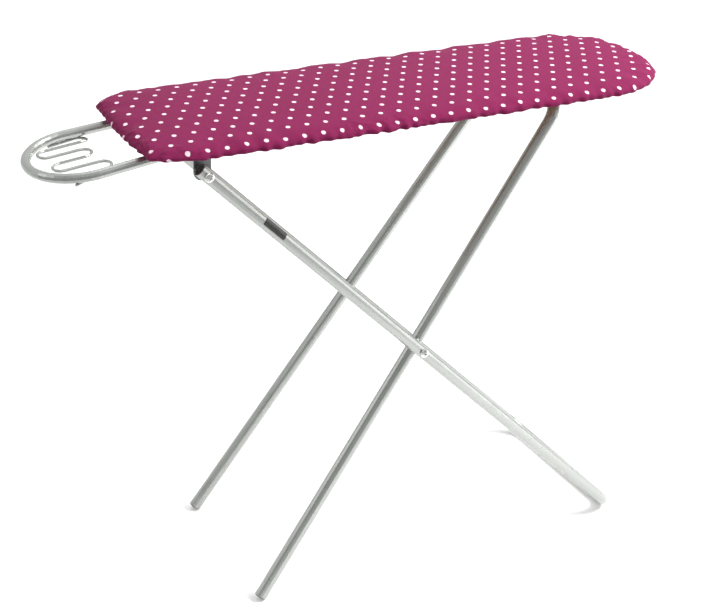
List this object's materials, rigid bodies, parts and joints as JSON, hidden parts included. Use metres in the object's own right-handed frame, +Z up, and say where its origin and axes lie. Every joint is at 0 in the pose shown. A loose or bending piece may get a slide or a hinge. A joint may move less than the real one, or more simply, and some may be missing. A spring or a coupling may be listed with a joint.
{
  "type": "folding ironing board",
  "caption": "Small folding ironing board: padded cloth-covered board with an oval nose, wire iron rest and crossed tubular steel legs that fold flat.",
  "frame": {"origin": "on the floor under the middle of the object's bounding box, standing open", "axes": "+X from the iron rest towards the board's nose, +Y across the board towards its far side, +Z up"},
  "size_m": [0.712, 0.2176, 0.547],
  "materials": {
    "silver_painted_steel": "satin silver paint on steel tube and wire",
    "zinc_plated_steel": "dull zinc plate",
    "bright_screws": "bright plated screws and bolts",
    "magenta_cotton": "woven cotton, magenta with printed white dots",
    "cream_foam": "open-cell foam",
    "brown_hardboard": "hardboard, rough face",
    "grey_nylon": "moulded nylon",
    "white_elastic": "round elastic cord",
    "dark_label": "blank dark plate"
  },
  "bodies": {
    "board": {"board_panel": "brown_hardboard", "foam_pad": "cream_foam", "cover": "magenta_cotton", "hem_elastic": "white_elastic", "iron_rest_tube": "silver_painted_steel", "iron_rest_wire": "silver_painted_steel", "rest_saddle_near": "zinc_plated_steel", "rest_screw_near_1": "bright_screws", "rest_screw_near_2": "bright_screws", "bracket_near": "zinc_plated_steel", "bracket_screw_near_1": "bright_screws", "bracket_screw_near_2": "bright_screws", "crossbar_clip_near": "grey_nylon", "clip_screw_near_1": "bright_screws", "clip_screw_near_2": "bright_screws", "rest_saddle_far": "zinc_plated_steel", "rest_screw_far_1": "bright_screws", "rest_screw_far_2": "bright_screws", "bracket_far": "zinc_plated_steel", "bracket_screw_far_1": "bright_screws", "bracket_screw_far_2": "bright_screws", "crossbar_clip_far": "grey_nylon", "clip_screw_far_1": "bright_screws", "clip_screw_far_2": "bright_screws"},
    "front_frame": {"front_leg_frame": "silver_painted_steel", "leg_label": "dark_label", "hinge_bolt_near": "bright_screws", "hinge_nut_near": "zinc_plated_steel", "hinge_washer_near": "zinc_plated_steel", "pivot_bolt_near": "bright_screws", "pivot_nut_near": "zinc_plated_steel", "pivot_spacer_near": "grey_nylon", "hinge_bolt_far": "bright_screws", "hinge_nut_far": "zinc_plated_steel", "hinge_washer_far": "zinc_plated_steel", "pivot_bolt_far": "bright_screws", "pivot_nut_far": "zinc_plated_steel", "pivot_spacer_far": "grey_nylon"},
    "rear_frame": {"rear_leg_frame": "silver_painted_steel", "foot_plug_near": "grey_nylon", "foot_plug_far": "grey_nylon"}
  },
  "joints": [
    {"name": "front_frame_hinge", "type": "hinge", "parent": "board", "child": "front_frame", "pos_m": [-0.2054, 0, 0.5143], "axis": [0.051, -0.9987, 0], "range_deg": [0, 35], "deforming": ["crossbar_clip_near", "crossbar_clip_far"]},
    {"name": "scissor_pivot", "type": "hinge", "parent": "front_frame", "child": "rear_frame", "pos_m": [0.0423, 0.00013, 0.26973], "axis": [-0.021, 0.9993, -0.0303], "range_deg": [0, 80.5]}
  ],
  "couplings": [
    {"joint": "scissor_pivot", "follows": "front_frame_hinge", "ratio": 2.3}
  ]
}
